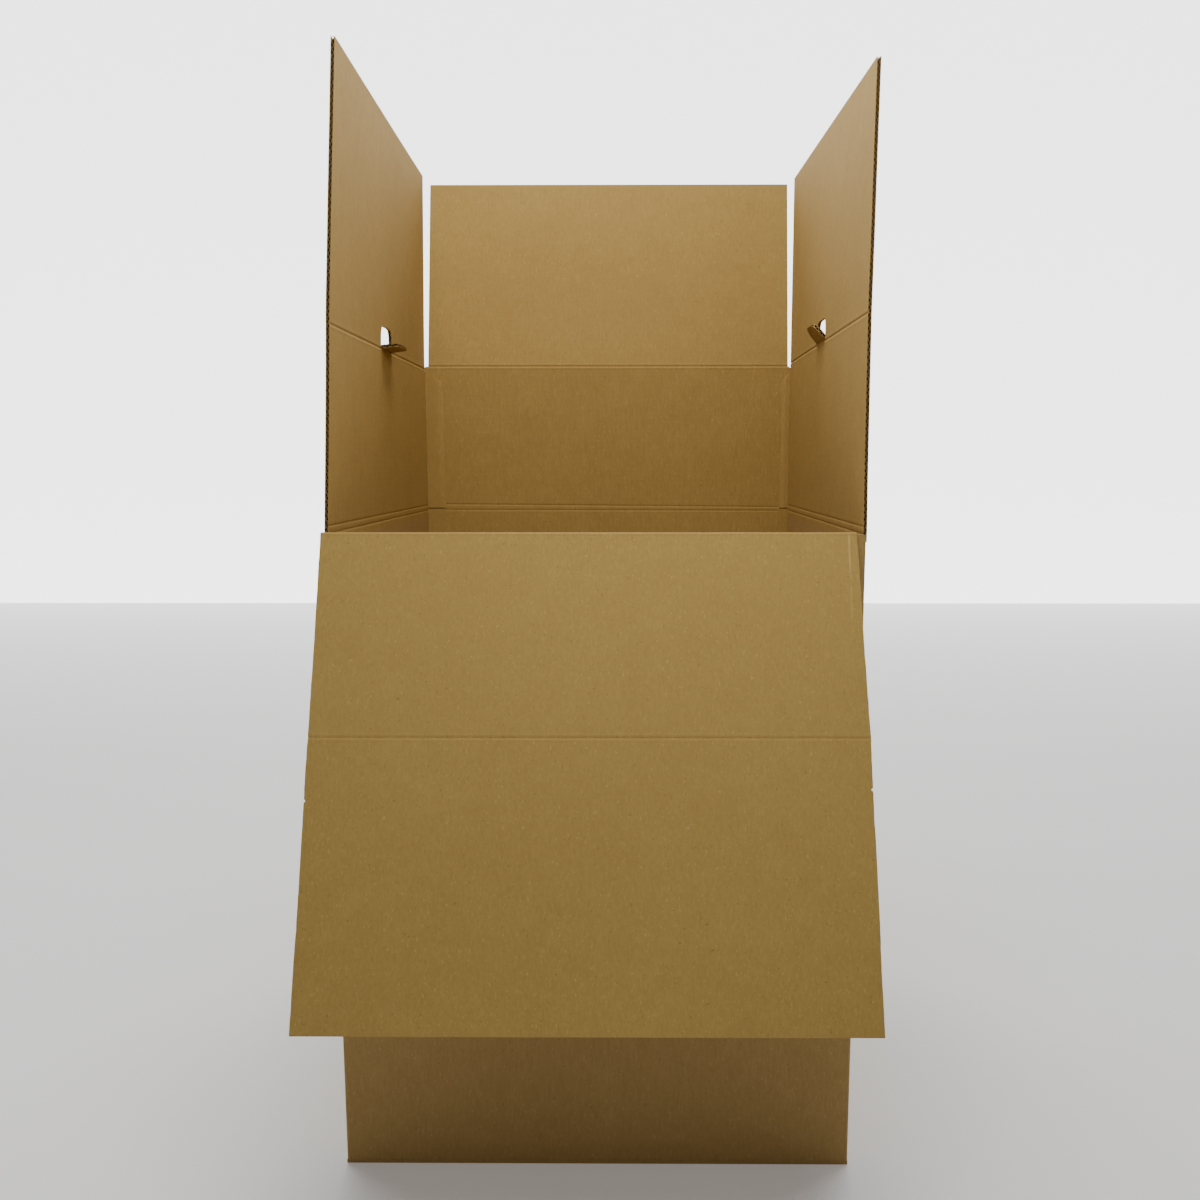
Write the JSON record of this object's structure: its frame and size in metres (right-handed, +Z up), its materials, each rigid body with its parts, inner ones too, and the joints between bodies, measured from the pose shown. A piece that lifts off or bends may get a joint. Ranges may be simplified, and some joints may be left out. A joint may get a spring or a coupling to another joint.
{
  "type": "wardrobe moving box",
  "caption": "Tall corrugated wardrobe carton standing open, front panel folded down, flaps up, with slots for a hanger bar.",
  "frame": {"origin": "middle of the underside, where the bottom seam is taped", "axes": "+Z up, -Y towards the open front, +X to the right as seen from the front"},
  "size_m": [0.6186, 0.8569, 1.3191],
  "materials": {
    "kraft_board": "matt",
    "kraft_board_inside": "matt",
    "packing_tape": "clear brown film"
  },
  "bodies": {
    "carton": {"carton_body": "kraft_board", "back_panel": "kraft_board", "bottom_tape": "packing_tape", "left_bar_tongue": "kraft_board_inside", "right_bar_tongue": "kraft_board_inside"},
    "front_strip": {"front_hinge_strip": "kraft_board_inside"},
    "front_panel": {"front_drop_panel": "kraft_board_inside"},
    "front_flap": {"front_top_flap": "kraft_board_inside"},
    "back_flap": {"back_top_flap": "kraft_board_inside"},
    "left_flap": {"left_top_flap": "kraft_board_inside"},
    "right_flap": {"right_top_flap": "kraft_board_inside"}
  },
  "joints": [
    {"name": "front_lower_score", "type": "hinge", "parent": "carton", "child": "front_strip", "pos_m": [0, -0.3058, 0.777], "axis": [-1, 0, 0], "range_deg": [-9.9, 80.1]},
    {"name": "front_upper_score", "type": "hinge", "parent": "front_strip", "child": "front_panel", "pos_m": [0, -0.31417, 0.77846], "axis": [-1, 0, 0], "range_deg": [-9.9, 80.1]},
    {"name": "front_flap_crease", "type": "hinge", "parent": "front_panel", "child": "front_flap", "pos_m": [0, -0.3899, 0.56074], "axis": [-1, 0, 0], "range_deg": [0, 90]},
    {"name": "back_flap_crease", "type": "hinge", "parent": "carton", "child": "back_flap", "pos_m": [0, 0.3083, 1.016], "axis": [1, 0, 0], "range_deg": [-140.5, 99.5], "deforming": ["left_bar_tongue", "right_bar_tongue"]},
    {"name": "left_flap_crease", "type": "hinge", "parent": "carton", "child": "left_flap", "pos_m": [-0.3028, 0, 1.0111], "axis": [-0.0178, 0.9998, 0], "range_deg": [-145, 90]},
    {"name": "right_flap_crease", "type": "hinge", "parent": "carton", "child": "right_flap", "pos_m": [0.3073, 0, 1.0209], "axis": [-0.0032, -1, 0], "range_deg": [-145, 90]}
  ],
  "couplings": [
    {"joint": "front_upper_score", "follows": "front_lower_score", "ratio": 1}
  ]
}
